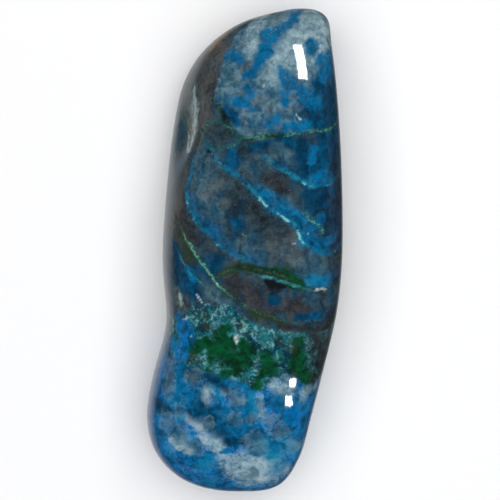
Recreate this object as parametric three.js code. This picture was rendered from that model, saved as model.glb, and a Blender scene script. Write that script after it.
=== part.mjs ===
import * as THREE from "three";
import { LoftGeometry } from "three/addons/geometries/LoftGeometry.js";

// A polished freeform stone of chrysocolla in smoky quartz, lying on its back. Millimetres.
// +X runs across the stone, +Y along it towards the broad head, +Z up through the polished front.
// The origin is the middle of the footprint, on the surface that the stone lies on.

const LENGTH = 33.9;
const WIDTH = 13.8;
const THICKNESS = 10;

// The girdle is the level where the stone is widest.
const GIRDLE = 4.7;
// The front falls away from its highest line towards the head and the foot.
const FRONT_FALL = 0.9;
const HIGHEST_AT = 2.5;
// How far in from each end the front and back start to round over, and how full that round is.
const HEAD_REACH = 6.4;
const FOOT_REACH = 6.0;
const END_FULLNESS = 2.3;
// The round back is ground flat. SOLE_GRIND is what the grinding took, SOLE_EASE its soft border.
const SOLE_GRIND = 1.1;
const SOLE_EASE = 0.35;
// How square the rounded cross-section is: 2 is an ellipse, large numbers a box.
const SECTION_FULLNESS = 4.1;
// A slanted side face runs down the left of the head, and fades out towards the waist.
const BEVEL_WIDTH = 2.3;
const BEVEL_AT = 9.5;
const BEVEL_REACH = 7.5;
const BEVEL_TILT = THREE.MathUtils.degToRad(30);

const POINTS_AROUND = 48;
const SECTIONS_ALONG = 60;
// Sections crowd towards the ends by this share.
const END_CROWDING = 0.85;
const RIM_STEPS = 3000;

// The outline from above, [x, y], from the foot up the left side and back down the right.
const OUTLINE = [
  [-0.5, -17], [-4.3, -16.2], [-6.3, -14.3], [-6.9, -12], [-6.5, -9], [-5.8, -6.5],
  [-5.5, -5], [-5.8, -1], [-5.6, 3.5], [-5, 9], [-4.3, 12], [-3, 14.1],
  [-0.8, 15.8], [2, 16.7], [4.3, 17], [5.7, 16.4], [6.1, 14.2], [6.5, 10.5],
  [6.8, 5], [6.8, -1], [6.4, -4.6], [5.7, -7.6], [4.7, -11.5], [3.8, -14.6],
  [2.4, -16.5],
];

// Old chips, polished over: shallow bowls pressed into the surface along a direction.
const CHIPS = [
  { centre: [-4.6, 8.3, 7.0], radii: [1.9, 2.9, 2.7], press: [0.55, 0, -0.35] },
  { centre: [6.0, -7.0, 7.9], radii: [1.2, 1.9, 1.7], press: [-0.35, 0, -0.3] },
];

const rim = new THREE.CatmullRomCurve3(
  OUTLINE.map(([x, y]) => new THREE.Vector3(x, y, 0)), true, "centripetal",
).getPoints(RIM_STEPS);

const levels = rim.map((point) => point.y);
const foot = Math.min(...levels);
const head = Math.max(...levels);
const headIndex = levels.indexOf(head);
const footIndex = levels.indexOf(foot);

// Each side of the rim as a chain of points that climbs from the foot to the head.
const fromFoot = [...rim.slice(footIndex), ...rim.slice(1, footIndex + 1)];
const turn = (headIndex - footIndex + rim.length) % rim.length;
const leftSide = fromFoot.slice(0, turn + 1);
const rightSide = fromFoot.slice(turn - 1).reverse();

// Where a side of the rim crosses the level y.
function sideAt(side, y) {
  const above = side.findIndex((point) => point.y > y);
  if (above < 1) return side.at(above).x;
  const low = side[above - 1];
  const high = side[above];
  return THREE.MathUtils.mapLinear(y, low.y, high.y, low.x, high.x);
}

// 0 at an end of the stone, rising along a rounded quarter to 1 at the given reach from it.
function rounded(distance, reach) {
  const short = 1 - Math.min(distance / reach, 1);
  return (1 - short ** END_FULLNESS) ** (1 / END_FULLNESS);
}

// A bell of height 1 around middle.
function bell(y, middle, reach) {
  return Math.exp(-(((y - middle) / reach) ** 2));
}

// Grinding flat: everything below the sole becomes the plane 0, with an eased border.
function ground(z) {
  if (z >= SOLE_EASE) return z;
  if (z <= -SOLE_EASE) return 0;
  return (z + SOLE_EASE) ** 2 / (4 * SOLE_EASE);
}

// The distance from a section's middle to its rounded wall. Each face is [normal x, normal z,
// distance], and the power mean of the faces rounds the corners between them.
function reachTo(faces, x, z) {
  let sum = 0;
  for (const [normalX, normalZ, distance] of faces) {
    sum += Math.max(0, (x * normalX + z * normalZ) / distance) ** SECTION_FULLNESS;
  }
  return sum ** (-1 / SECTION_FULLNESS);
}

function pressed(point) {
  for (const { centre, radii, press } of CHIPS) {
    const offset = point.clone().sub(new THREE.Vector3(...centre));
    const inside = 1 - offset.divide(new THREE.Vector3(...radii)).lengthSq();
    if (inside > 0) point.addScaledVector(new THREE.Vector3(...press), inside ** 2);
  }
  return point;
}

function section(y) {
  const left = sideAt(leftSide, y);
  const right = sideAt(rightSide, y);
  const ends = Math.min(rounded(head - y, HEAD_REACH), rounded(y - foot, FOOT_REACH));
  const fall = FRONT_FALL * ((y - HIGHEST_AT) / (LENGTH / 2)) ** 2;
  const top = GIRDLE + (THICKNESS - fall - GIRDLE) * ends;
  const bottom = GIRDLE - (GIRDLE + SOLE_GRIND) * ends;
  const middle = (left + right) / 2;
  const halfWidth = (right - left) / 2;
  const bevel = BEVEL_WIDTH * bell(y, BEVEL_AT, BEVEL_REACH) * ends;
  const faces = [
    [1, 0, halfWidth],
    [-1, 0, halfWidth],
    [0, 1, top - GIRDLE],
    [0, -1, GIRDLE - bottom],
    [
      -Math.cos(BEVEL_TILT),
      Math.sin(BEVEL_TILT),
      Math.cos(BEVEL_TILT) * (halfWidth - bevel) + Math.sin(BEVEL_TILT) * (top - GIRDLE),
    ],
  ];
  const points = [];
  for (let i = 0; i < POINTS_AROUND; i++) {
    const angle = (i / POINTS_AROUND) * 2 * Math.PI;
    const reach = reachTo(faces, -Math.cos(angle), Math.sin(angle));
    points.push(new THREE.Vector3(-Math.cos(angle) * reach, y, GIRDLE + Math.sin(angle) * reach));
  }
  // The rounding draws the section in a little, so it is spread back to the rim.
  const box = new THREE.Box3().setFromPoints(points);
  for (const point of points) {
    point.x = THREE.MathUtils.mapLinear(point.x, box.min.x, box.max.x, left, right);
    point.z = ground(THREE.MathUtils.mapLinear(point.z, box.min.z, box.max.z, bottom, top));
    pressed(point);
  }
  return points;
}

// The tip of an end: a section drawn in to one point.
function tip(y, side) {
  const point = new THREE.Vector3(sideAt(side, y), y, GIRDLE);
  return Array.from({ length: POINTS_AROUND }, () => point);
}

function stoneGeometry() {
  const sections = [tip(foot, leftSide)];
  for (let i = 1; i < SECTIONS_ALONG; i++) {
    const step = i / SECTIONS_ALONG;
    const crowded = step - (END_CROWDING * Math.sin(2 * Math.PI * step)) / (2 * Math.PI);
    sections.push(section(THREE.MathUtils.lerp(foot, head, crowded)));
  }
  sections.push(tip(head, leftSide));
  const geometry = new LoftGeometry(sections);
  geometry.computeBoundingBox();
  const size = geometry.boundingBox.getSize(new THREE.Vector3());
  const centre = geometry.boundingBox.getCenter(new THREE.Vector3());
  geometry.translate(-centre.x, -centre.y, 0);
  geometry.scale(WIDTH / size.x, LENGTH / size.y, THICKNESS / size.z);
  return geometry;
}

const polishedStone = new THREE.MeshStandardMaterial({
  color: 0x2c6a80,
  roughness: 0.12,
  metalness: 0,
});

const stone = new THREE.Mesh(stoneGeometry(), polishedStone);
stone.name = "stone";

const group = new THREE.Group();
group.add(stone);

export default group;
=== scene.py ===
"""A polished freeform stone of chrysocolla and malachite in smoky quartz, lying on its back."""

from math import radians

import bmesh
import bpy
import numpy as np
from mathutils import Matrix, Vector, noise


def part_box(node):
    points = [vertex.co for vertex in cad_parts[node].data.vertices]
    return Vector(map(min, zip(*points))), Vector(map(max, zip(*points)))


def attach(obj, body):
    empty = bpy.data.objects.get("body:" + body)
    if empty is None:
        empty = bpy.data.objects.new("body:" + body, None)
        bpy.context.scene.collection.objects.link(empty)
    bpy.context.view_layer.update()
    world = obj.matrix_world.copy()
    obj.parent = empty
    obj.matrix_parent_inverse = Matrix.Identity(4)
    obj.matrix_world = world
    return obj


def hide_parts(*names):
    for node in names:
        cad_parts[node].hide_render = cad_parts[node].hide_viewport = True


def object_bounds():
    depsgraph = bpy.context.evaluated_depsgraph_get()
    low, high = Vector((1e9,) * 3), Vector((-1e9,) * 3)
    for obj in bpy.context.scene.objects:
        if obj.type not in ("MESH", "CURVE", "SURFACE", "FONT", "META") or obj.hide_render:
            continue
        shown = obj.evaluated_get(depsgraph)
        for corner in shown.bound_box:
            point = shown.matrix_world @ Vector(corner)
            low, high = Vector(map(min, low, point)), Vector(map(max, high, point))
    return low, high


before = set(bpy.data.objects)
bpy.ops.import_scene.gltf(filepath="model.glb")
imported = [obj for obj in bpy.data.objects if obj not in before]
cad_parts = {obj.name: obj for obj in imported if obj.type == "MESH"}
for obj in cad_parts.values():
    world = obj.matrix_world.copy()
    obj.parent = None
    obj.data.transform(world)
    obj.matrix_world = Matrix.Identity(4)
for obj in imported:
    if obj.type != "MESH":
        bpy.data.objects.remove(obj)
cad_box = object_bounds()

MM = 0.001

# ---------------------------------------------------------------------------------------------
# Sizes and places, in millimetres
# ---------------------------------------------------------------------------------------------

GRAIN = 0.13  # side of the fine skin's faces
MERGE_GAP = 1e-4  # corners nearer than this are one
FRONT_LEVEL = 0.9  # the front is all above this share of the height, and the veins dive below it
LEAN = (0.35, 0.45)  # how far the veins lean over for each millimetre that they dive
STRAY = 1.3  # how far they wander off that line, once they are STRAY_DEPTH down
STRAY_DEPTH = 6
STRAY_OFTEN = 0.28  # how many times to the millimetre the wander turns
PATCH_FRAYS = ((0.2, 0.8), (0.16, 2.1), (0.1, 4.3))  # (how far, how many to the millimetre)
VEIN_FRAYS = ((0.12, 0.8), (0.07, 2.3))
TEXTURE_BEND = 1.6  # how far the coarse textures swirl
TEXTURE_STIR = 0.7  # how far the fine textures do
RELIEF = 0.02  # how deep the polish is uneven

STONE_LOW, STONE_HIGH = (np.array(corner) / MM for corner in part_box("stone"))
STONE_SIZE = STONE_HIGH - STONE_LOW
GIRDLE_SHARE = 0.47
GIRDLE = STONE_LOW[2] + GIRDLE_SHARE * STONE_SIZE[2]  # the level where the stone is widest

LENS = 180.0
SENSOR = 36.0  # the camera's width behind the lens
VIEW_MARGIN = 1.2  # what shows beyond the stone's two ends together
VIEW_HEIGHT = STONE_SIZE[1] + VIEW_MARGIN  # what the camera sees, at the level of the girdle
VIEW_CENTRE = (0.42, 0.0)
EYE_HEIGHT = GIRDLE + VIEW_HEIGHT * LENS / SENSOR
NEAREST_SEEN = 1  # by the camera

FLOOR_REACH = 3000  # from the middle to each side
FILL_HEIGHT = 900
FILL_SIZE = 1200
MIRROR_GRAIN = 0.6  # the skin's grain is averaged out over this radius

# ---------------------------------------------------------------------------------------------
# Other driving values
# ---------------------------------------------------------------------------------------------

NOISE_SEED = 5  # fixes the frays and the wandering of the veins
PATH_STEPS = 6  # pieces of a smooth path between two of its knots
TINY = 1e-6  # keeps the path of a lone knot from having no length
FAR_OUTSIDE = -3.0  # the least that a stroke's growth is counted as
JOIN_BEND = radians(50)  # triangles that bend less than this join into four-sided faces
JOIN_SKEW = radians(60)  # as long as their corners are no further than this from square
ROUNDING = 2  # how many times those faces are divided
POLISH_STRENGTH = 0.5  # how much each pass smooths the fine skin
POLISH_PASSES = 8

STONE_IOR = 1.5
ROUGHNESS = 0.04
ROUGHNESS_SPREAD = 0.03
RELIEF_STRENGTH = 0.05

FILL_WATTS = 12.5
FLOOR_ROUGHNESS = 0.7

# The surround. Its heights run from -1, straight down, to 1, straight up.
CEILING_GLOW = 0.06  # everywhere
HORIZON_GLOW = 0.12  # added at height 0, and fading to none at HORIZON_REACH
HORIZON_REACH = 0.4
PAPER_GLOW = 0.36  # added low down, and coming in between the heights of PAPER_EDGE
PAPER_EDGE = (-0.74, -1.04)
PAPER_LEAN = 0.25  # a direction to the far left counts as this much lower

# ---------------------------------------------------------------------------------------------
# The plan of the stone, seen from above, in millimetres. It is PLAN_SIZE across and long, and it is
# laid over the stone's box, middle on middle. A stroke is a list of (x, y, half width).
# ---------------------------------------------------------------------------------------------

PLAN_SIZE = (13.8, 33.9)

STROKES = {
    # White clouds in the quartz
    "milky": [
        [(4.6, 16, 1), (3.8, 15, 1.4), (2.9, 13.6, 1.4), (2.3, 12.6, 1), (1.8, 11.8, 0.6)],
        [(0.4, 14.8, 0.5), (0.5, 13.7, 0.4)],
        [(5, 14.6, 0.6), (4.9, 12.8, 0.5)],
        [(-2, -8.9, 0.2), (-2.5, -9.7, 0.3), (-2.7, -10.5, 0.3)],
        [(-1.3, -9.6, 0.3), (-0.7, -9.4, 0.3)],
        [(-3.7, -11.5, 0.3), (-3, -12, 0.4)],
        [(-2.5, -12.7, 0.4), (-2, -13.4, 0.6), (-1.7, -14.1, 0.4)],
        [(-0.9, -14.4, 0.4), (0.2, -14.8, 0.8), (1.4, -15.2, 0.8)],
        [(-1.6, -15.2, 0.5), (0, -16, 0.8), (2, -16, 0.6)],
        [(0.1, -9.9, 0.1), (-0.2, -10.6, 0.2)],
        [(2.1, -9.2, 0.4), (2.7, -9.4, 0.6), (3.1, -9.9, 0.4)],
        [(1, -10.1, 0.2), (1.2, -11.1, 0.3)],
        [(3, -13.4, 0.3), (3.3, -14, 0.4)],
        [(4, -10.3, 0.2), (4.3, -9.8, 0.3)],
        [(-4.9, -13.2, 0.3), (-4, -14, 0.4)],
    ],
    # Blue-grey quartz
    "steel": [
        [(-2.8, 6.4, 0.5), (-2.8, 4.8, 0.7), (-2.5, 3.4, 0.8), (-1.7, 2.4, 0.7)],
        [(-0.8, 1.9, 0.5), (-0.4, 0.6, 0.6), (0.4, -0.4, 0.6)],
        [(0.2, 6, 0.6), (1.8, 5.7, 0.6), (2.9, 6.4, 0.7)],
        [(0.9, 4.2, 0.3), (2.8, 3.4, 0.5), (3.9, 3.1, 0.6)],
        [(3.8, -0.7, 0.5), (4.6, -1.2, 0.8), (5.6, -1.2, 0.7)],
        [(-2.3, -2.8, 0.4), (-1.2, -3.6, 0.3)],
        [(-6.9, 7.2, 0.7), (-7.8, 4.4, 1.1), (-7.4, 1.6, 0.7)],
    ],
    # Grey mist
    "haze": [
        [(3.2, 9.3, 0.7), (4, 9, 0.4)],
        [(-0.8, 11.9, 0.6), (-0.4, 10.8, 0.5)],
        [(2.2, 0.8, 0.7), (3.1, 0.5, 1), (3.6, -0.5, 0.8)],
        [(3.2, 3.5, 0.4), (3.5, 2.6, 0.3)],
        [(-1.8, 4.4, 0.4), (-2.6, 3.8, 0.3)],
        [(-1.2, 3.5, 0.2), (-1.1, 2.9, 0.2)],
        [(-5, -3, 0.3), (-4.6, -4.2, 0.4)],
        [(-5.3, 1, 0.3), (-5.3, -1.8, 0.3)],
    ],
    # Clear smoky quartz, nearly black
    "dusk": [
        [(-1.9, 8.1, 0.7), (-1, 7.9, 0.4)],
        [(-0.3, 6.7, 0.5), (0.4, 6.3, 0.5)],
        [(1.6, 5, 0.6), (2.2, 4.8, 0.7), (2.9, 4.3, 0.6)],
        [(0.6, 3, 0.8), (1.6, 1.9, 1), (2.6, 1.4, 0.8)],
        [(-0.6, 3.8, 0.7), (-0.6, 2.6, 0.6), (-0.9, 1.4, 0.6)],
        [(-4.3, 2.6, 0.4), (-4, 1.6, 0.5), (-3.3, 0.8, 0.5), (-2.5, 0.2, 0.5)],
        [(4.6, -5.9, 0.4), (4.9, -7, 0.5), (4.6, -8, 0.4)],
        [(-3.5, 11.8, 0.4), (-3.1, 10.8, 0.5)],
        [(-1.6, 11.6, 0.4), (-1.9, 10.9, 0.3)],
        [(4, 3.4, 0.4), (4.6, 2.9, 0.4)],
    ],
    # Black glass: a wedge under the green band, and a speck in the head
    "jet": [
        [(1.5, -2.1, 0.2), (2, -2.4, 0.4), (2.9, -2.4, 0.1)],
        [(-2.4, 6.8, 0.2)],
    ],
    # Brown smoky quartz
    "umber": [
        [(-1.3, -2.2, 0.5), (-0.2, -2.5, 0.8), (0.8, -3.1, 0.8), (2, -4.1, 0.6)],
        [(3, -3.9, 0.5), (4.6, -4.1, 0.3)],
        [(2, 4.9, 0.4), (2.7, 4.3, 0.4)],
        [(-6.4, 9.4, 0.6), (-8.4, 7.2, 0.8)],
        [(-4.4, 2.4, 0.3), (-4.1, 1.5, 0.4), (-3.4, 0.7, 0.3)],
    ],
    # Deep blue
    "deep": [
        [(5.2, 11.3, 0.5), (5.7, 10.4, 0.8), (5.9, 9.4, 0.8), (5.9, 8.6, 0.5)],
        [(4.4, 10, 0.4), (4.7, 9, 0.5), (5.2, 8.5, 0.4)],
        [(2.6, 7.6, 0.3), (3.9, 7.1, 0.5), (4.2, 6.2, 0.8), (4.6, 5.2, 0.8)],
        [(5.6, 7.8, 0.6), (5.7, 6.2, 1), (5.5, 4.9, 0.8)],
        [(4.4, 3.9, 0.4), (5.2, 3.4, 0.7), (6, 3.8, 0.6)],
        [(6.1, 2.8, 0.5), (6.1, 1.4, 0.5), (6, 0, 0.3)],
        [(-4.9, -0.2, 0.3), (-4.4, -1.4, 0.8), (-3.7, -2.2, 0.8), (-3.3, -3, 0.4)],
        [(-1.9, -0.7, 0.4), (-2, -1.6, 0.5), (-1.7, -2.2, 0.2)],
        [(-6.6, 2.6, 0.4), (-7.4, -0.4, 0.9), (-7, -3.2, 0.6)],
        [(3.4, -4.7, 0.1), (4.6, -4.5, 0.2), (5.7, -4.6, 0.2)],
        [(-3.9, -8.3, 0.4), (-2.4, -8.8, 0.4), (-0.8, -9.3, 0.4)],
        [(-3.6, -10.7, 0.6), (-2.2, -11.5, 0.5), (-1.2, -12.2, 0.5)],
        [(-6.1, -11.2, 0.4), (-5.4, -11.2, 0.3)],
        [(-1, -13.1, 0.3), (0.2, -12.8, 0.3)],
        [(1.4, 7.2, 0.3), (0.6, 6.9, 0.3)],
        [(-0.8, 6.9, 0.2), (-0.8, 6.3, 0.5), (-0.9, 5.6, 0.3)],
        [(-1, 9.4, 0.4), (-0.4, 8.6, 0.3)],
        [(-0.6, 2, 0.3), (-0.3, 1.5, 0.3)],
        [(2, -2.9, 0.2), (2.1, -3.4, 0.3)],
    ],
    # Vivid blue
    "azure": [
        [(2.9, 15.2, 0.2), (2.3, 14.7, 0.4), (1.7, 14.1, 0.5), (1.3, 13.4, 0.4), (1, 12.8, 0.4)],
        [(1.2, 14.6, 0.3), (1.6, 14.5, 0.3)],
        [(0.7, 12.3, 0.3), (0.2, 11.9, 0.2), (0.8, 11.8, 0.2)],
        [(-1, 13.2, 0.3), (-0.4, 13, 0.3)],
        [(2.5, 12.3, 0.3), (2.9, 11.5, 0.5), (3.6, 11.2, 0.4), (4.2, 10.6, 0.5), (4.8, 10, 0.5)],
        [(4.3, 14.2, 0.2), (4.7, 13.7, 0.3)],
        [(5.1, 13.2, 0.2), (5.4, 12.6, 0.3), (5.6, 11.8, 0.4)],
        [(0.2, 11, 0.2), (0.4, 10.5, 0.3)],
        [(-0.4, 10.2, 0.3), (0.6, 9.6, 0.2)],
        [(1.6, 8.6, 0.3), (2.3, 8.9, 0.4)],
        [(3, 8.4, 0.3), (4.2, 8.5, 0.3)],
        [(2.7, 10.6, 0.3), (2.8, 9.8, 0.2)],
        [(4.7, 7, 0.2), (4.6, 6.1, 0.2)],
        [(5.4, 5.2, 0.3), (4.8, 4.7, 0.3)],
        [(1.2, 3.9, 0.3), (2, 3.2, 0.5), (2.9, 2.6, 0.5), (3.6, 2.1, 0.5)],
        [(3.9, 1.9, 0.4), (4.6, 1.5, 0.4), (5.4, 2.4, 0.2)],
        [(4.3, 0.6, 0.5), (5.2, 0.4, 0.4), (5.9, 0.8, 0.2)],
        [(-3.9, -1.3, 0.2), (-3.4, -1.9, 0.2)],
        [(4.6, -2.1, 0.3), (5.4, -2.3, 0.3), (6, -1.9, 0.3)],
        [(-4.8, -8.2, 0.4), (-4.8, -9.2, 0.5), (-4.2, -10.2, 0.6)],
        [(-1, -9, 0.3), (0.2, -9.5, 0.4)],
        [(-1.2, -11.2, 0.5), (0.4, -11, 0.4)],
        [(-0.4, -12.2, 0.5), (0.6, -12.4, 0.4)],
        [(2.3, -10.4, 0.4), (3.4, -10.9, 0.8), (3.4, -11.9, 0.9), (3.5, -13, 0.5)],
        [(-1.8, -14.1, 0.1), (-1.3, -13.8, 0.2), (-0.9, -13.5, 0.1)],
        [(-3.8, -13.4, 0.1), (-3.1, -13.4, 0.2)],
        [(0.4, -14, 0.1), (1.2, -14, 0.2)],
        [(1.6, -12.8, 0.3), (2.1, -13.4, 0.3), (1.8, -14.2, 0.3)],
    ],
    # Royal blue
    "royal": [
        [(-4.4, -5.3, 0.6), (-4.1, -6.1, 0.8), (-4, -6.9, 0.5)],
        [(3, -10.6, 0.3), (3.5, -11.6, 0.5), (3.4, -12.4, 0.4)],
    ],
    # Turquoise
    "cyan": [
        [(0.5, -10.2, 0.4), (0.7, -10.7, 0.4)],
        [(-2, -9.6, 0.3), (-1.7, -10, 0.3)],
        [(1, -6.2, 0.5), (1.8, -6.4, 0.5)],
        [(-2.4, -4.2, 0.4), (-1.4, -4.4, 0.4)],
        [(-5.2, -6.6, 0.3), (-5.5, -7.2, 0.3)],
        [(-4.6, -11.5, 0.2), (-4.1, -11.6, 0.2)],
        [(2.3, -7.2, 0.2), (2.6, -8, 0.3)],
        [(1.2, -13.2, 0.3), (2, -14.8, 0.6), (1.8, -15.8, 0.5)],
        [(3.2, -14.2, 0.5), (2.7, -12.9, 0.4)],
        [(-2.6, -14.6, 0.4), (-3.2, -15.2, 0.4)],
        [(4.4, -2.2, 0.2), (5.2, -2.2, 0.3)],
    ],
    # Green pools
    "leaf": [
        [(-1.2, -5.3, 0.4), (-1.5, -5.9, 0.5), (-1, -6.5, 0.6)],
        [(-2, -6.8, 0.5), (-1.2, -7.2, 0.7), (-0.3, -7.4, 0.7), (0.3, -7, 0.6), (0.1, -6.5, 0.4)],
        [(-3.2, -6.8, 0.4), (-2.8, -6.4, 0.4), (-2.3, -6.6, 0.3)],
        [(-2.2, -7.5, 0.3)],
        [(1.6, -7.2, 0.4), (1.7, -8, 0.5), (1.3, -8.5, 0.3)],
        [(3.7, -6.2, 0.3), (3.8, -7.2, 0.4), (3.6, -8.1, 0.5), (4.2, -8.7, 0.5)],
        [(0.9, -9, 0.3), (0.8, -9.5, 0.2)],
        [(-1.3, -8.4, 0.3), (-0.4, -8.3, 0.2)],
        [(2.4, -7.4, 0.2)],
        [(-2.5, -8.2, 0.2)],
        [(-7, -6.8, 0.4), (-8.2, -7.4, 0.6)],
        [(1.7, -1.3, 0.2), (2.6, -1.5, 0.4), (3.3, -2, 0.4), (4, -2.5, 0.2)],
    ],
    # Olive
    "moss": [
        [(-2.6, -4.7, 0.4), (-2.5, -5.2, 0.4)],
        [(0.1, -5, 0.4), (-0.2, -5.4, 0.3)],
        [(3.2, -6.6, 0.4)],
        [(-4.6, -4.6, 0.1), (-4.3, -4, 0.2)],
        [(-3.6, -7.3, 0.3), (-3.2, -7.6, 0.3)],
        [(2.4, -6.2, 0.2)],
        [(-1.6, -1.7, 0.3), (-0.9, -1.2, 0.4), (0.2, -1.2, 0.3), (1.2, -1.4, 0.3)],
        [(0.4, -4.2, 0.3), (1.6, -4.7, 0.3), (2.8, -5, 0.2)],
        [(-4.2, 0.6, 0.5), (-3.8, -0.6, 0.5)],
    ],
    # Round windows of grey quartz with a pale ring
    "orbs": [
        [(-5.5, -8, 0.5), (-5.5, -9, 0.5), (-5.6, -9.9, 0.4)],
        [(-3.4, -8.8, 0.5)],
        [(-0.6, -10.1, 0.5)],
        [(-4.5, -11, 0.4)],
        [(1.9, -11.7, 0.5)],
        [(2.5, -12.5, 0.5)],
        [(-5.3, -12, 0.6)],
        [(-4.3, -12.4, 0.4), (-4.3, -12.9, 0.4)],
        [(0.8, -13.3, 0.7)],
        [(0.5, -11.5, 0.3)],
        [(-0.6, -11.6, 0.4)],
        [(-3.4, -13.7, 0.5)],
        [(-2.4, -11.8, 0.3)],
    ],
    # White crystals
    "sparkle": [
        [(-0.5, -6, 0.2), (-0.4, -6.4, 0.1)],
        [(0.7, -8.2, 0.1)],
        [(-3.2, -3.2, 0.1), (-2.9, -3.5, 0.1)],
        [(-4.4, -5.1, 0.1), (-3.9, -4.8, 0.1)],
        [(-3.6, -5.9, 0.1)],
        [(5, 13.7, 0.1), (5.2, 13.4, 0.1)],
        [(1.4, 11.1, 0.1)],
        [(3.6, 9.2, 0.1), (3.9, 8.9, 0.1)],
        [(3.4, 0.4, 0.1)],
        [(0, 1.2, 0.1)],
        [(4.4, 1.1, 0.1)],
        [(-2.1, 6.7, 0.1)],
        [(4.8, -2.7, 0.1), (5.4, -2.6, 0.1)],
        [(-1.9, -2.3, 0.1)],
    ],
    # Grey-green glass inside the chips
    "chip": [
        [(-4.2, 10.2, 0.4), (-4.4, 9.2, 0.7), (-4.5, 7.8, 0.8), (-4.5, 6.6, 0.4)],
        [(-4.9, -3.2, 0.3), (-4.7, -4.6, 0.4)],
    ],
    # Whitish cracks round the chips
    "crazing": [
        [(-4.2, 10.3, 0.1), (-3.9, 9.6, 0.3), (-3.8, 8.4, 0.3), (-3.9, 7.4, 0.2), (-4.2, 6.5, 0.1)],
        [(-4.2, 6.2, 0.1), (-4.8, 6, 0.2), (-4.9, 7, 0.1)],
        [(6.1, -5.4, 0.1), (5.5, -6.2, 0.2), (5.3, -7.2, 0.2), (5.3, -8.2, 0.1)],
        [(-4.6, -3.2, 0.2), (-4.4, -4.2, 0.2)],
    ],
    # Grain that runs down the slanted side
    "strands": [
        [(-1.9, 14.2, 0.6), (-2.4, 12.4, 0.8), (-2.7, 10.6, 0.9), (-3, 9, 0.7), (-3.4, 7.4, 0.5)],
        [(-4, 12, 0.5), (-4.4, 10.5, 0.4)],
        [(-4.6, 5, 0.4), (-5, 2, 0.5), (-5.2, -1, 0.4)],
    ],
    # Painted shade in dark red-brown: down the right edge, along the waist crease and beside the
    # right notch
    "edge": [
        [(6.7, 8.4, 0.4), (6.7, 5.6, 0.5), (6.6, 3, 0.6), (6.6, 0.4, 0.6), (6.5, -2.4, 0.6)],
        [(6.4, -4.6, 0.6), (5.4, -5.4, 0.4), (4.2, -5.3, 0.3), (2.6, -5.2, 0.2)],
        [(4.9, -5.9, 0.5), (5, -7, 0.5), (4.9, -8.4, 0.4), (4.6, -10.4, 0.2)],
    ],
    # Ochre
    "ochre": [
        [(-2.2, 14, 0.2), (-2.7, 13.3, 0.4), (-3.1, 12.7, 0.3)],
    ],
}

# ---------------------------------------------------------------------------------------------
# Veins on the same plan: a vein is a list of (x, y, strength, reach). Its reach is how far a blue
# sheet fades out to its left, or how much a green vein widens.
# ---------------------------------------------------------------------------------------------

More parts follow.
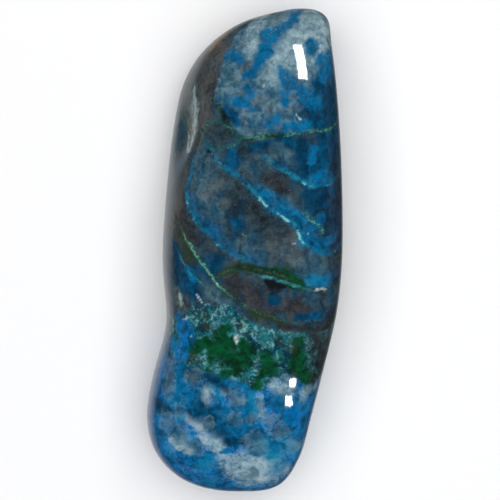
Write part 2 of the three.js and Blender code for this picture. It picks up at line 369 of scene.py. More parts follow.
VEINS = {
    "head_vein": [
        (0, 7.5, 0.9, 0.2), (1, 7.7, 1, 0.2), (2.3, 7.8, 1, 0.2), (3.3, 7.9, 0.9, 0.1),
        (4.2, 8.1, 0.8, 0.1), (5.7, 8.3, 0.8, 0.1), (7, 8.7, 0.7, 0.1),
    ],
    "cell_wall": [
        (0, 7.5, 0.8, 0.1), (-0.6, 8, 0.9, 0.2), (-1.1, 8.7, 1, 0.3), (-1.8, 9.9, 1, 0.2),
        (-2.4, 10.5, 0.6, 0.1),
    ],
    "cell": [
        (-0.1, 7.5, 1, 0.1), (-0.5, 8, 1, 0.1), (-1.3, 8.6, 1, 0.1), (-1.9, 8.8, 1, 0.1),
        (-2.6, 8.6, 1, 0.1), (-2.8, 8, 1, 0.1), (-2.6, 7.4, 1, 0.1), (-2, 7.1, 1, 0.1),
        (-1.4, 7, 1, 0.1), (-0.7, 7.2, 1, 0.1), (-0.1, 7.5, 1, 0.1),
    ],
    "long_diagonal": [
        (-2.9, 7.4, 0.4, 0.1), (-2.1, 6.6, 0.6, 0.1), (-1.8, 6, 0.7, 0.2), (-1.3, 5.5, 0.7, 0.3),
        (-0.5, 4.9, 0.6, 0.3), (0.3, 4.2, 0.6, 0.4), (1, 3.5, 0.8, 0.8), (1.9, 2.6, 1, 0.8),
        (2.9, 2, 1, 0.7), (3.4, 1.7, 1, 0.7), (3.7, 1, 0.9, 0.8), (4, 0.4, 0.8, 0.9),
        (4.8, -0.1, 0.7, 0.8), (5.4, -0.4, 0.6, 0.6), (6.9, -0.2, 0.4, 0.5),
    ],
    "upper_thread": [
        (0, 7.3, 0.2, 0.2), (1, 6.5, 0.3, 0.3), (1.6, 6.1, 0.4, 0.3), (2.3, 5.5, 0.6, 0.4),
        (3.2, 5, 1, 0.5), (3.8, 4.7, 1, 0.6), (4.6, 4.3, 1, 0.7), (5.1, 4.3, 0.6, 0.7),
        (5.6, 4.4, 0.5, 0.7), (6.1, 4.6, 0.4, 0.6), (6.8, 5.2, 0.2, 0.5),
    ],
    "left_sheet": [
        (-3.3, 6.9, 0.2, 0.3), (-3.8, 5.6, 0.4, 0.4), (-4.1, 4.5, 0.6, 0.5), (-4.2, 3.8, 0.7, 0.8),
        (-3.9, 2.8, 0.7, 0.8), (-3.4, 2.1, 0.6, 0.8), (-2.9, 1.4, 0.5, 0.9), (-2.3, 0.9, 0.5, 1.1),
        (-1.6, 0.2, 0.5, 1), (-0.8, -0.4, 0.4, 0.8), (0.6, -0.9, 0.4, 0.7), (1.5, -1.2, 0.2, 0.4),
    ],
    "green_band": [
        (-1.9, -1.9, 0.7, 0.2), (-1.4, -1.5, 0.9, 0.3), (-0.4, -1.2, 0.9, 0.4), (0.6, -1.3, 0.9, 0.4),
        (1.6, -1.5, 1, 0.5), (2.6, -1.7, 1, 0.5), (3.3, -2.2, 0.9, 0.3), (4.1, -2.6, 0.9, 0.3),
        (4.9, -2.7, 0.7, 0.2), (5.6, -2.7, 0.6, 0.1), (6.6, -2.3, 0.4, 0.1),
    ],
    "teal_layer": [
        (1.2, -1.8, 0.6, 0.2), (2.1, -2, 1, 0.2), (2.9, -2.2, 1, 0.2), (3.7, -2.5, 0.7, 0.2),
        (4.6, -2.7, 0.3, 0.2),
    ],
    "waist": [
        (-9.4, 8.8, 0.5, 0.2), (-7, 5.4, 0.7, 0.2), (-5.2, 2.4, 0.5, 0.1), (-4.1, 0.8, 0.8, 0.1),
        (-3.3, -0.2, 1, 0.1), (-2.6, -1.2, 1, 0.1), (-2, -2.2, 0.9, 0.2), (-0.9, -3.1, 0.5, 0.4),
        (0.3, -3.9, 0.5, 0.4), (1.6, -4.5, 0.5, 0.4), (3.3, -5, 0.5, 0.3), (5.2, -5.2, 0.5, 0.2),
        (6.8, -4.8, 0.5, 0.2),
    ],
    "waist_thread": [
        (-4.1, 0.8, 0.6, 0.1), (-3.3, -0.2, 1, 0.1), (-2.6, -1.2, 1, 0.1), (-1.9, -2.3, 1, 0.1),
        (-1.2, -2.9, 0.4, 0.1),
    ],
    "under_waist": [
        (-4.8, -0.3, 0.5, 0.1), (-4, -1.2, 0.8, 0.1), (-3.2, -2, 0.6, 0.1), (-2.7, -2.5, 0.3, 0.1),
    ],
    "fleck": [
        (4.2, 2.5, 0.4, 0.1), (4.6, 2.1, 1, 0.1), (5, 1.8, 0.9, 0.1), (5.3, 1.5, 1, 0.1),
        (5.3, 1.1, 0.6, 0.1),
    ],
}

# Borders between the stone's zones: each zone lies to the left of its border
BORDERS = {
    "head": [
        (0.8, 16.8), (-1, 14), (-1.6, 12), (-2.2, 10.4), (-1.1, 8.7), (0, 7.5), (3, 7.8), (7, 8.7),
    ],
    "lace": [
        (7, -5.3), (4.8, -5.6), (3.2, -5.5), (1.6, -5.3), (0.3, -4.6), (-0.9, -3.8), (-3.2, -3.8),
        (-5, -5), (-7, -5.6), (-10, -5.8),
    ],
    "foot": [
        (7, -9.1), (4.2, -9.2), (3.2, -8.7), (2, -8.8), (1.2, -9.6), (0.2, -9.1), (-0.8, -8.7),
        (-2.3, -8.3), (-4, -7.7), (-5, -6.4), (-7, -7.4), (-10, -9),
    ],
}

# Highlights: the corners of each on the plan, how far off the bright card that it mirrors stands,
# and how brightly that card glows
HIGHLIGHTS = {
    "key": ([(3.3, 14), (3.9, 14), (4.3, 11.6), (3.7, 11.7)], 300, 50),
    "window": ([(3.1, -8.8), (3.5, -8.8), (3.5, -9.3), (3.1, -9.3)], 12, 60),
    "low_window": ([(2.8, -10), (3.2, -10), (3.3, -10.6), (2.8, -10.6)], 12, 60),
}

# ---------------------------------------------------------------------------------------------
# Paths
# ---------------------------------------------------------------------------------------------


def smooth_path(knots):
    """A smooth curve through the knots, as closely spaced rows with the knots' own columns."""
    knots = np.array(knots, float)
    if len(knots) == 1:
        return np.vstack([knots, knots + TINY])
    before, after = 2 * knots[:1] - knots[1:2], 2 * knots[-1:] - knots[-2:-1]
    row = np.vstack([before, knots, after])
    t = np.linspace(0, 1, PATH_STEPS, endpoint=False)[:, None]
    parts = []
    for a, b, c, d in zip(row, row[1:], row[2:], row[3:]):
        curve = (c - a) * t + (2 * a - 5 * b + 4 * c - d) * t**2 + (3 * b - a - 3 * c + d) * t**3
        parts.append(b + curve / 2)
    return np.vstack(parts + [knots[-1:]])


def follow(flat, knots):
    """For each point: its distance to the path, positive on the left, and the path's further
    columns at the nearest place on it."""
    path = smooth_path(knots)
    nearest = np.full(len(flat), np.inf)
    side = np.zeros(len(flat))
    further = np.zeros((len(flat), path.shape[1] - 2))
    for start, end in zip(path, path[1:]):
        step = end[:2] - start[:2]
        away = flat - start[:2]
        share = np.clip(away @ step / max(step @ step, TINY**2), 0, 1)
        distance = np.hypot(*(away - share[:, None] * step).T)
        closer = distance < nearest
        nearest = np.where(closer, distance, nearest)
        turn = np.where(step[0] * away[:, 1] - step[1] * away[:, 0] < 0, -1, 1)
        side = np.where(closer, distance * turn, side)
        values = start[2:] + share[:, None] * (end[2:] - start[2:])
        further = np.where(closer[:, None], values, further)
    return np.column_stack([side, further])


def growth(flat, strokes):
    """1 on the middle line of a stroke, 0 at its edge, and below 0 outside it."""
    best = np.full(len(flat), FAR_OUTSIDE)
    for stroke in strokes:
        side, width = follow(flat, stroke).T
        best = np.maximum(best, 1 - np.abs(side) / width)
    return best


# ---------------------------------------------------------------------------------------------
# The stone's fine skin
# ---------------------------------------------------------------------------------------------


def add_object(name, data):
    made = bpy.data.objects.new(name, data)
    bpy.context.scene.collection.objects.link(made)
    return made


def fine_skin(cad):
    """The node's solid with its facets rounded away, on small even faces."""
    mesh = cad.data.copy()
    shape = bmesh.new()
    shape.from_mesh(mesh)
    bmesh.ops.remove_doubles(shape, verts=shape.verts, dist=MERGE_GAP * MM)
    bmesh.ops.join_triangles(
        shape,
        faces=shape.faces,
        angle_face_threshold=JOIN_BEND,
        angle_shape_threshold=JOIN_SKEW,
    )
    shape.to_mesh(mesh)
    shape.free()
    rough = add_object("rough_stone", mesh)
    rounding = rough.modifiers.new("rounding", "SUBSURF")
    rounding.levels = rounding.render_levels = ROUNDING
    grain = rough.modifiers.new("grain", "REMESH")
    grain.mode = "VOXEL"
    grain.voxel_size = GRAIN * MM
    polish = rough.modifiers.new("polish", "SMOOTH")
    polish.factor = POLISH_STRENGTH
    polish.iterations = POLISH_PASSES
    graph = bpy.context.evaluated_depsgraph_get()
    fine = bpy.data.meshes.new_from_object(rough.evaluated_get(graph))
    bpy.data.objects.remove(rough)
    fine.name = "polished_stone"
    fine.materials.clear()
    return fine


def read_vectors(items, key):
    values = np.empty(len(items) * 3, np.float32)
    items.foreach_get(key, values)
    return values.reshape(-1, 3).astype(float)


def write_field(mesh, name, values):
    """Keeps one number, or three, for each vertex under the name."""
    if values.ndim == 1:
        mesh.attributes.new(name, "FLOAT", "POINT").data.foreach_set("value", values)
    else:
        field = mesh.attributes.new(name, "FLOAT_VECTOR", "POINT")
        field.data.foreach_set("vector", values.ravel())


def pushes(points, often):
    """A smooth random push in plan for each point, which turns this often to the millimetre."""
    return np.array([noise.noise_vector(Vector(point) * often)[:2] for point in points])


def on_the_plan(points):
    """Where each point of the skin lies on the plan. The veins dive as they go down."""
    spread = np.array(PLAN_SIZE) / STONE_SIZE[:2]
    depth = np.maximum(STONE_LOW[2] + FRONT_LEVEL * STONE_SIZE[2] - points[:, 2], 0)
    wander = STRAY * pushes(points, STRAY_OFTEN) * np.minimum(depth / STRAY_DEPTH, 1)[:, None]
    flat = (points[:, :2] - (STONE_LOW + STONE_HIGH)[:2] / 2) * spread
    return flat - depth[:, None] * np.array(LEAN) + wander


def frayed(flat, points, frays):
    """The plan pushed about by noise: each fray is (how far, how many to the millimetre)."""
    for far, often in frays:
        flat = flat + far * pushes(points, often)
    return flat


def lay_the_plan(skin, points):
    """Writes on each vertex how it lies to the strokes, veins and borders."""
    flat = on_the_plan(points)
    patchy = frayed(flat, points, PATCH_FRAYS)
    veined = frayed(flat, points, VEIN_FRAYS)
    for name, strokes in STROKES.items():
        write_field(skin, name, growth(patchy, strokes))
    for name, knots in VEINS.items():
        write_field(skin, name, follow(veined, knots))
    for name, knots in BORDERS.items():
        write_field(skin, name, follow(patchy, knots)[:, 0])


def set_down(skin, points):
    """Lifts what the smoothing left below the level that the stone lies on."""
    points[:, 2] = np.maximum(points[:, 2], cad_box[0][2] / MM)
    skin.vertices.foreach_set("co", (points * MM).ravel())
    skin.update()


noise.seed_set(NOISE_SEED)
skin = fine_skin(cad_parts["stone"])
points = read_vectors(skin.vertices, "co") / MM
lay_the_plan(skin, points)
set_down(skin, points)
normals = read_vectors(skin.vertex_normals, "vector")
for face in skin.polygons:
    face.use_smooth = True
stone = add_object("polished_stone", skin)


# ---------------------------------------------------------------------------------------------
# Shader maths
# ---------------------------------------------------------------------------------------------


# A Mix node's sockets for colours: its two inputs, and its output
MIX_FIRST = 6
MIX_SECOND = 7
MIX_RESULT = 2


class Value:
    """A number in a shader, which adds its own Math nodes, or a colour or vector on its way to one
    of the other nodes."""

    def __init__(self, maker, socket):
        self.maker = maker
        self.socket = socket

    def math(self, operation, *values):
        inputs = dict(enumerate(values))
        return self.maker.node("ShaderNodeMath", {"operation": operation}, inputs)

    def __add__(self, other):
        return self.math("ADD", self, other)

    def __sub__(self, other):
        return self.math("SUBTRACT", self, other)

    def __rsub__(self, other):
        return self.math("SUBTRACT", other, self)

    def __mul__(self, other):
        return self.math("MULTIPLY", self, other)

    def __truediv__(self, other):
        return self.math("DIVIDE", self, other)

    def __rtruediv__(self, other):
        return self.math("DIVIDE", other, self)

    def __abs__(self):
        return self.math("ABSOLUTE", self)

    __radd__ = __add__
    __rmul__ = __mul__

    def rise(self, low, high):
        """0 below low, 1 above high, and smooth between. The other way round where low is more."""
        settings = {"interpolation_type": "SMOOTHSTEP", "clamp": True}
        falls = low > high
        inputs = {"Value": self, "From Min": min(low, high), "From Max": max(low, high)}
        inputs |= {"To Min": float(falls), "To Max": float(not falls)}
        return self.maker.node("ShaderNodeMapRange", settings, inputs)


class Maker:
    """Adds nodes to a material or a world, and feeds its shader."""

    def __init__(self, owner, shader="Principled BSDF"):
        owner.use_nodes = True
        self.owner = owner
        self.tree = owner.node_tree
        self.shader = self.tree.nodes[shader]

    def node(self, kind, settings, inputs, output=0):
        """Adds a node with these settings and inputs, and gives one of its outputs."""
        made = self.tree.nodes.new(kind)
        for key, value in settings.items():
            setattr(made, key, value)
        for key, value in inputs.items():
            self.feed(made.inputs[key], value)
        return Value(self, made.outputs[output])

    def feed(self, socket, value):
        if isinstance(value, Value):
            self.tree.links.new(value.socket, socket)
        else:
            socket.default_value = value

    def set(self, **values):
        """Feeds the shader's own sockets, named with _ for a space."""
        for name, value in values.items():
            self.feed(self.shader.inputs[name.replace("_", " ")], value)

    def parts(self, vector):
        """The three numbers of a vector or a colour."""
        split = self.node("ShaderNodeSeparateXYZ", {}, {"Vector": vector})
        return [Value(self, output) for output in split.socket.node.outputs]

    def noise(self, place, scale, detail, roughness, output="Fac"):
        inputs = {"Vector": place, "Scale": scale, "Detail": detail, "Roughness": roughness}
        return self.node("ShaderNodeTexNoise", {"normalize": True}, inputs, output)

    def three_noises(self, place, scale, detail, roughness):
        """Three noises of one scale that have nothing else in common."""
        return self.parts(self.noise(place, scale, detail, roughness, "Color"))

    def vectors(self, operation, a, b):
        inputs = {0: a, ("Scale" if operation == "SCALE" else 1): b}
        return self.node("ShaderNodeVectorMath", {"operation": operation}, inputs)

    def mix(self, share, a, b):
        """Colour a where share is 0, and colour b where it is 1."""
        inputs = {0: share, MIX_FIRST: a, MIX_SECOND: b}
        return self.node("ShaderNodeMix", {"data_type": "RGBA"}, inputs, MIX_RESULT)


# ---------------------------------------------------------------------------------------------
# Paints
# ---------------------------------------------------------------------------------------------


def paint(red, green, blue):
    """A colour given as display values from 0 to 255."""
    shares = [value / 255 for value in (red, green, blue)]
    return (*[((c + 0.055) / 1.055) ** 2.4 if c > 0.04 else c / 12.92 for c in shares], 1.0)


WHITE = paint(206, 222, 224)
FROST = paint(166, 190, 196)
PEARL = paint(110, 142, 156)
MIST = paint(84, 118, 132)
STEEL = paint(40, 80, 98)
ASH = paint(106, 114, 114)
TAUPE = paint(98, 94, 88)
STONE_GREY = paint(64, 76, 82)
SLATE = paint(62, 84, 94)
SMOKE = paint(40, 56, 64)
UMBER = paint(60, 52, 52)
DUSK = paint(34, 32, 36)
RUSSET = paint(46, 32, 30)
INK = paint(16, 20, 24)
CHIP_DARK = paint(40, 52, 50)
CHIP_LIGHT = paint(96, 112, 106)
NAVY = paint(0, 40, 64)
SEA = paint(0, 64, 96)
AZURE = paint(0, 84, 126)
BRIGHT_AZURE = paint(0, 112, 162)
ROYAL = paint(0, 122, 194)
TURQUOISE = paint(24, 132, 156)
PALE_TURQUOISE = paint(124, 196, 202)
TEAL = paint(22, 92, 92)
LEAF = paint(0, 80, 46)
BOTTLE = paint(4, 40, 24)
OLIVE = paint(40, 52, 30)
MINT = paint(112, 176, 144)
OCHRE = paint(142, 110, 38)
FLOOR_WHITE = paint(246, 246, 247)
PURE_WHITE = (1, 1, 1, 1)
BLACK = (0, 0, 0, 1)


# ---------------------------------------------------------------------------------------------
# The stone's textures
# ---------------------------------------------------------------------------------------------


class Rock(Maker):
    """The stone's material, with the textures that its minerals share. Their scales are to the
    millimetre. The noises, the grains and their mottle spread about 0.5, ragged spreads about 0,
    and web is the distance to a crack."""

    def __init__(self, name):
        super().__init__(bpy.data.materials.new(name))
        object_place = self.node("ShaderNodeTexCoord", {}, {}, "Object")
        place = self.vectors("SCALE", object_place, 1 / MM)
        swirl = self.vectors("SUBTRACT", self.noise(place, 0.9, 2, 0.5, "Color"), (0.5, 0.5, 0.5))
        stirred = self.vectors("ADD", place, self.vectors("SCALE", swirl, TEXTURE_STIR))
        self.bent = self.vectors("ADD", place, self.vectors("SCALE", swirl, TEXTURE_BEND))
        self.cloud, self.drift, self.shade = self.three_noises(self.bent, 1.0, 2, 0.5)
        self.fine, self.fleck, self.fuzz = self.three_noises(stirred, 2.6, 3, 0.6)
        self.grit = self.noise(place, 6.5, 1, 0.5)
        self.sugar = self.noise(place, 9.0, 2, 0.6)
        self.grains = self.blended_grains(1.7, 0.6)
        self.web = self.cracks_between(2.6)
        self.wisps = self.noise(self.turned(42, (1.8, 0.45, 1.2)), 1, 3, 0.55)
        self.streaks = self.noise(self.turned(-38, (2.2, 0.5, 1.2)), 1, 3, 0.55)
        self.strands = self.noise(self.turned(6, (2.6, 0.2, 1.4)), 1, 3, 0.6)
        self.mottle = self.cloud * 0.35 + self.fine * 0.4 + self.grains * 0.1 + self.grit * 0.15
        self.ragged = (self.drift - 0.5) * 2.4 + (self.fuzz - 0.5) * 2.4 + (self.grit - 0.5)

    def blended_grains(self, scale, smoothness):
        """One random number for each grain, softly blended where grains meet."""
        inputs = {"Vector": self.bent, "Scale": scale, "Smoothness": smoothness}
        settings = {"feature": "SMOOTH_F1"}
        return self.parts(self.node("ShaderNodeTexVoronoi", settings, inputs, "Color"))[0]

    def cracks_between(self, scale):
        """Distance to the nearest crack of a net of cracks."""
        inputs = {"Vector": self.bent, "Scale": scale}
        settings = {"feature": "DISTANCE_TO_EDGE"}
        return self.node("ShaderNodeTexVoronoi", settings, inputs, "Distance")

    def turned(self, degrees, scale):
        """The bent place, turned in plan and stretched, for grain that runs one way."""
        inputs = {"Vector": self.bent, "Rotation": (0, 0, radians(degrees)), "Scale": scale}
        return self.node("ShaderNodeMapping", {}, inputs)

    def field(self, name):
        """What a stroke or a border wrote on the skin."""
        return self.node("ShaderNodeAttribute", {"attribute_name": name}, {}, "Fac")

    def vein(self, name):
        """Signed distance to the vein, positive on its left, then its strength and its reach."""
        return self.parts(self.node("ShaderNodeAttribute", {"attribute_name": name}, {}, "Vector"))

    def soft(self, name, fray=0.6, low=-1.0, high=1.1):
        """How much of a mineral there is, with its edges frayed into its neighbours."""
        return (self.field(name) + self.ragged * fray).rise(low, high)

    def mottled(self, dark, light):
        """A mineral between its own dark and light shades."""
        return self.mix(self.mottle.rise(0.36, 0.64), dark, light)


# ---------------------------------------------------------------------------------------------
# Minerals, each laid over the colour below it. The two numbers of a rise are the levels of a
# texture between which a paint comes in, and the number after it is how much covers at most.
# ---------------------------------------------------------------------------------------------


def smoky_quartz(rock):
    """Slate glass with blue-grey wisps, brown depths, mist, and a few bright specks."""
    colour = rock.mottled(SMOKE, SLATE)
    colour = rock.mix(rock.shade.rise(0.54, 0.68) * 0.3, colour, UMBER)
    colour = rock.mix(rock.soft("steel") * 0.7, colour, rock.mottled(STEEL, MIST))
    colour = rock.mix(rock.wisps.rise(0.42, 0.6) * 0.75, colour, rock.mottled(SEA, STEEL))
    colour = rock.mix(rock.fleck.rise(0.5, 0.36) * 0.5, colour, rock.mottled(INK, SMOKE))
    colour = rock.mix(rock.soft("haze") * 0.6, colour, rock.mottled(STONE_GREY, ASH))
    colour = rock.mix(rock.soft("dusk") * 0.75, colour, rock.mottled(INK, SMOKE))
    colour = rock.mix(rock.soft("umber") * 0.8, colour, rock.mottled(DUSK, UMBER))
    speck = rock.sugar.rise(0.6, 0.72) * rock.fleck.rise(0.46, 0.6) * 0.2
    return rock.mix(speck, colour, FROST)


def dark_side(rock, colour):
    """The slanted side: grey and red-brown grain that runs along the stone, and cracked chips."""
    dark = rock.mix(rock.fine.rise(0.36, 0.64), SMOKE, RUSSET)
    grain = rock.mix(rock.strands.rise(0.32, 0.66), dark, TAUPE)
    colour = rock.mix(rock.soft("strands", 0.4) * 0.8, colour, grain)
    colour = rock.mix(rock.soft("chip", 0.4) * 0.9, colour, rock.mottled(CHIP_DARK, CHIP_LIGHT))
    cracks = rock.web.rise(0.12, 0.02) * 0.4 + rock.fine.rise(0.4, 0.6) * 0.5 + 0.4
    return rock.mix(rock.soft("crazing", 0.3, -0.6, 0.8) * cracks.rise(0, 1) * 0.8, colour, FROST)


def milky_head(rock, colour):
    """The head: blue-grey quartz, streaked and clouded with blue."""
    inside = (rock.field("head") + rock.ragged * 0.08).rise(-0.06, 0.1)
    base = rock.mottled(STEEL, MIST)
    base = rock.mix(rock.streaks.rise(0.44, 0.64) * 0.65, base, rock.mottled(SEA, AZURE))
    base = rock.mix(rock.shade.rise(0.46, 0.64) * 0.5, base, rock.mottled(STONE_GREY, ASH))
    base = rock.mix((rock.cloud * 0.6 + rock.fleck * 0.4).rise(0.48, 0.6) * 0.5, base, PEARL)
    return rock.mix(inside, colour, base)


def milk(rock, colour):
    """White clouds, torn at their edges."""
    spread = rock.soft("milky")
    colour = rock.mix(spread * 0.65, colour, PEARL)
    shreds = (rock.fuzz * 0.5 + rock.grit * 0.15 + rock.cloud * 0.35).rise(0.34, 0.6)
    return rock.mix(spread * shreds, colour, rock.mottled(PEARL, FROST))


def blue_foot(rock, colour):
    """The foot: blue throughout, with soft pale clouds."""
    inside = (rock.field("foot") + rock.ragged * 0.15).rise(-0.15, 0.2)
    base = rock.mottled(SEA, ROYAL)
    base = rock.mix(rock.drift.rise(0.5, 0.66) * 0.5, base, rock.mottled(BRIGHT_AZURE, TURQUOISE))
    shreds = (rock.cloud * 0.4 + rock.fleck * 0.4 + rock.grit * 0.2).rise(0.5, 0.66)
    base = rock.mix(shreds * 0.45, base, rock.mottled(MIST, PEARL))
    base = rock.mix(rock.shade.rise(0.48, 0.34) * 0.5, base, rock.mottled(NAVY, SEA))
    return rock.mix(inside, colour, base)


def round_windows(rock, colour):
    """Round windows of grey quartz, each with a faint pale ring."""
    orb = rock.field("orbs") + rock.ragged * 0.3
    ring = abs(orb + 0.2).rise(0.6, 0.0) * rock.fine.rise(0.4, 0.62) * 0.4
    colour = rock.mix(ring, colour, PEARL)
    grey = rock.mottled(STONE_GREY, ASH)
    glass = rock.mix(rock.shade.rise(0.44, 0.6), rock.mottled(STEEL, MIST), grey)
    return rock.mix(orb.rise(-0.6, 0.9) * 0.7, colour, glass)


def vivid_blue(rock):
    """Blue with darker flecks and paler fibres."""
    light = rock.mottled(AZURE, BRIGHT_AZURE)
    flecked = rock.mix(rock.fleck.rise(0.54, 0.38) * 0.7, light, rock.mottled(SEA, AZURE))
    return rock.mix(rock.wisps.rise(0.5, 0.68) * 0.25, flecked, rock.mottled(STEEL, MIST))


def blue_patches(rock, colour):
    """Blue grown through the quartz, with turquoise in a few places."""
    deep = rock.mix(rock.wisps.rise(0.48, 0.66), rock.mottled(NAVY, SEA), rock.mottled(SEA, AZURE))
    colour = rock.mix(rock.soft("deep", 0.7, -1.3, 0.6), colour, deep)
    torn = (rock.fleck * 0.5 + rock.grit * 0.5).rise(0.24, 0.46)
    colour = rock.mix(rock.soft("azure", 0.7, -0.9, 0.5) * torn, colour, vivid_blue(rock))
    colour = rock.mix(rock.soft("royal", 0.6, -0.8, 0.6), colour, rock.mottled(SEA, ROYAL))
    return rock.mix(rock.soft("cyan") * 0.7, colour, rock.mottled(BRIGHT_AZURE, TURQUOISE))


def lace(rock, colour):
    """Green pools in teal, edged by tufts of pale turquoise."""
    inside = (rock.field("lace") + rock.ragged * 0.15).rise(-0.1, 0.15)
    inside = inside * (rock.field("foot") + rock.ragged * 0.15).rise(0.2, -0.15)
    inside = inside * (rock.field("royal") + rock.ragged * 0.4).rise(0.3, -0.3)
    colour = rock.mix(inside * 0.95, colour, rock.mottled(NAVY, TEAL))
    pool = rock.field("leaf") + rock.ragged * 0.6
    green = rock.mix(rock.mottle.rise(0.38, 0.62), BOTTLE, LEAF)
    colour = rock.mix(pool.rise(-1.0, 0.5), colour, green)
    colour = rock.mix(rock.soft("moss", 0.5) * 0.9, colour, OLIVE)
    curls = abs(rock.fine - 0.5).rise(0.1, 0.0) + abs(rock.fleck - 0.5).rise(0.09, 0.0)
    tufts = rock.fuzz.rise(0.4, 0.6) + curls * 0.3
    tufts = tufts * (rock.cloud * 0.7 + rock.grit * 0.3).rise(0.36, 0.56) * pool.rise(0.8, -0.5)
    pale = rock.mix(rock.shade.rise(0.4, 0.6), TURQUOISE, PEARL)
    pale = rock.mix(rock.grit.rise(0.38, 0.62), TEAL, pale)
    pale = rock.mix(rock.fleck.rise(0.46, 0.66), pale, PALE_TURQUOISE)
    return rock.mix(tufts.rise(0.0, 1.4) * inside * 0.75, colour, pale)


def blue_sheet(rock, colour, name):
    """A sheet that stands out on its right side, and fades out on its left."""
    side, strength, reach = rock.vein(name)
    wobble = side + (rock.fine - 0.5) * 0.3 + (rock.grit - 0.5) * 0.1
    share = side / reach + (rock.cloud - 0.5) * 1.5 + (rock.fuzz - 0.5) * 1.2
    body = wobble.rise(-0.05, 0.1) * share.rise(1.4, 0.0) * strength.rise(0, 0.6)
    blue = rock.mix(rock.shade.rise(0.4, 0.58), vivid_blue(rock), rock.mottled(NAVY, AZURE))
    colour = rock.mix(body * 0.95, colour, blue)
    lit = (strength + (rock.shade - 0.5) * 2.5).rise(0.2, 1.0)
    torn = (rock.fuzz * 0.6 + rock.fleck * 0.4).rise(0.4, 0.56)
    shine = abs(wobble - 0.1).rise(0.26, 0.0) * lit * torn * 0.8
    colour = rock.mix(shine, colour, TURQUOISE)
    crusted = (strength + (rock.cloud - 0.5) * 3 + (rock.fuzz - 0.5) * 2).rise(0.85, 1.3)
    line = abs(wobble - 0.05).rise(0.14, 0.02) * crusted
    return rock.mix(line * 0.85, colour, PALE_TURQUOISE)


def green_vein(rock, colour, name, width, dark, light, beads):
    """A ragged band of green, with pale beads along its middle."""
    side, strength, reach = rock.vein(name)
    wobble = abs(side + (rock.fine - 0.5) * 0.3 + (rock.drift - 0.5) * 0.25)
    body = (wobble - reach * 0.5).rise(width, -width) * strength
    colour = rock.mix(body.rise(0.0, 0.8) * 0.9, colour, rock.mottled(dark, light))
    broken = (rock.cloud * 0.4 + rock.fuzz * 0.6).rise(0.42, 0.58)
    bead = wobble.rise(0.18, 0.01) * broken * strength
    return rock.mix(bead * beads, colour, rock.mix(rock.grit.rise(0.4, 0.6), TEAL, MINT))


def painted_shade_and_crystals(rock, colour):
    """Painted red-brown shade by the right edge, ochre, then black glass and white crystals on top.
    """
    # painted shade: dark red-brown down the right edge, along the waist crease and beside the right
    # notch
    painted_shade = rock.mix(rock.fine.rise(0.4, 0.6), INK, RUSSET)
    colour = rock.mix(rock.soft("edge", 0.4) * 0.8, colour, painted_shade)
    colour = rock.mix(rock.soft("ochre", 0.5, -0.5, 0.8) * 0.85, colour, rock.mottled(UMBER, OCHRE))
    colour = rock.mix(rock.soft("jet", 0.4, -0.7, 0.7), colour, INK)
    crystals = rock.soft("sparkle", 0.5, -0.4, 1.0) * (rock.sugar.rise(0.36, 0.6) * 0.7 + 0.3)
    return rock.mix(crystals * 0.8, colour, WHITE)


# ---------------------------------------------------------------------------------------------
# The whole stone
# ---------------------------------------------------------------------------------------------

# Each row: name, half width, dark shade, light shade, and how strong its beads are
GREEN_VEINS = [
    ("head_vein", 0.24, BOTTLE, LEAF, 0.7),
    ("cell_wall", 0.24, INK, BOTTLE, 0.2),
    ("cell", 0.06, BOTTLE, TEAL, 0.2),
    ("green_band", 0.3, BOTTLE, OLIVE, 0.15),
    ("waist", 0.2, BOTTLE, OLIVE, 0.4),
    ("waist_thread", 0.07, TEAL, MINT, 0.5),
    ("teal_layer", 0.08, TEAL, TURQUOISE, 0.6),
    ("under_waist", 0.06, SEA, TURQUOISE, 0.4),
    ("fleck", 0.06, TEAL, LEAF, 0.9),
]
BLUE_SHEETS = ["upper_thread", "long_diagonal", "left_sheet"]
# Each covers the ones before it
MINERALS = [dark_side, milky_head, blue_foot, milk, blue_patches, round_windows, lace]


def stone_material():
    rock = Rock("polished_chrysocolla")
    colour = smoky_quartz(rock)
    for mineral in MINERALS:
        colour = mineral(rock, colour)
    for name in BLUE_SHEETS:
        colour = blue_sheet(rock, colour, name)
    for vein in GREEN_VEINS:
        colour = green_vein(rock, colour, *vein)
    colour = painted_shade_and_crystals(rock, colour)
    relief = {"Height": rock.cloud * 0.5 + rock.fine * 0.2}
    relief |= {"Strength": RELIEF_STRENGTH, "Distance": RELIEF * MM}
    bump = rock.node("ShaderNodeBump", {}, relief)
    roughness = ROUGHNESS + rock.fine * ROUGHNESS_SPREAD
    rock.set(Base_Color=colour, Roughness=roughness, IOR=STONE_IOR, Normal=bump)
    return rock.owner


skin.materials.append(stone_material())
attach(stone, "root")
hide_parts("stone")


# ---------------------------------------------------------------------------------------------
# Studio
# ---------------------------------------------------------------------------------------------


def add_staged(name, mesh, material):
    mesh.materials.append(material)
    made = add_object(name, mesh)
    return made


def glow(name, strength):
    """A material that only glows."""
    maker = Maker(bpy.data.materials.new(name))
    maker.set(Base_Color=BLACK, Emission_Color=PURE_WHITE, Emission_Strength=strength)
    return maker.owner


def pale_floor():
    level = cad_box[0][2]
    reach = FLOOR_REACH * MM
    mesh = bpy.data.meshes.new("floor")
    corners = [(x * reach, y * reach, level) for x, y in ((-1, -1), (1, -1), (1, 1), (-1, 1))]
    mesh.from_pydata(corners, [], [(0, 1, 2, 3)])
    maker = Maker(bpy.data.materials.new("pale_floor"))
    maker.set(Base_Color=FLOOR_WHITE, Roughness=FLOOR_ROUGHNESS)
    floor = add_staged("floor", mesh, maker.owner)
    floor.visible_glossy = False


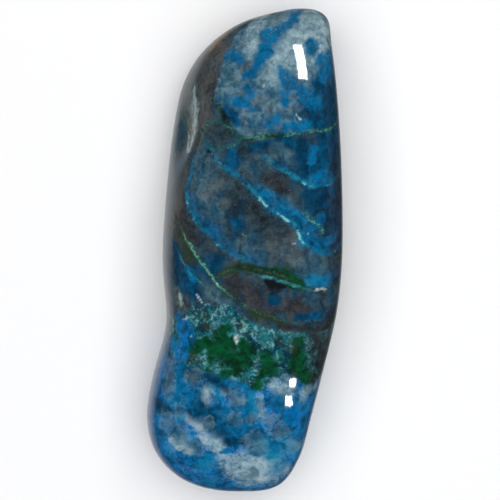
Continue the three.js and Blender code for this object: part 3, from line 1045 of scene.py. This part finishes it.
def camera():
    data = bpy.data.cameras.new("camera")
    data.lens = LENS
    data.sensor_width = SENSOR
    data.clip_start = NEAREST_SEEN * MM
    eye = add_object("camera", data)
    eye.location = Vector((*VIEW_CENTRE, EYE_HEIGHT)) * MM
    bpy.context.scene.camera = eye


def mirrored_place(spot, distance):
    """What the camera sees mirrored in the skin at spot, with the skin's grain averaged out."""
    near = np.hypot(*(points[:, :2] - np.array(spot)).T) < MIRROR_GRAIN
    near &= points[:, 2] > GIRDLE
    start = Vector(points[near].mean(axis=0))
    normal = Vector(normals[near].mean(axis=0)).normalized()
    view = (Vector((*VIEW_CENTRE, EYE_HEIGHT)) - start).normalized()
    return start + (2 * normal.dot(view) * normal - view) * distance


def glowing_card(name, corners, distance, strength):
    """A bright card that shows only in the polish, where its mirror image has these corners."""
    mesh = bpy.data.meshes.new(name)
    places = [mirrored_place(corner, distance) * MM for corner in corners]
    mesh.from_pydata(places, [], [range(len(corners))])
    card = add_staged(name, mesh, glow(name, strength))
    card.visible_camera = card.visible_diffuse = card.visible_shadow = False


def overhead_fill():
    """A wide soft light from above that the polish does not mirror."""
    data = bpy.data.lights.new("fill", "AREA")
    data.size = FILL_SIZE * MM
    data.energy = FILL_WATTS
    lamp = add_object("fill", data)
    lamp.location = (0, 0, FILL_HEIGHT * MM)
    lamp.visible_glossy = False


def studio_air():
    """A dim ceiling and a faint horizon, over white paper that is brighter on the left."""
    world = bpy.data.worlds.new("studio")
    bpy.context.scene.world = world
    air = Maker(world, "Background")
    across, _, height = air.parts(air.node("ShaderNodeTexCoord", {}, {}, "Generated"))
    paper = (height + across * PAPER_LEAN).rise(*PAPER_EDGE) * PAPER_GLOW
    horizon = abs(height).rise(HORIZON_REACH, 0.0) * HORIZON_GLOW
    air.set(Color=PURE_WHITE, Strength=paper + horizon + CEILING_GLOW)


pale_floor()
camera()
studio_air()
overhead_fill()
for name, (corners, distance, strength) in HIGHLIGHTS.items():
    glowing_card(name, corners, distance, strength)
bpy.context.scene.view_settings.view_transform = "Standard"
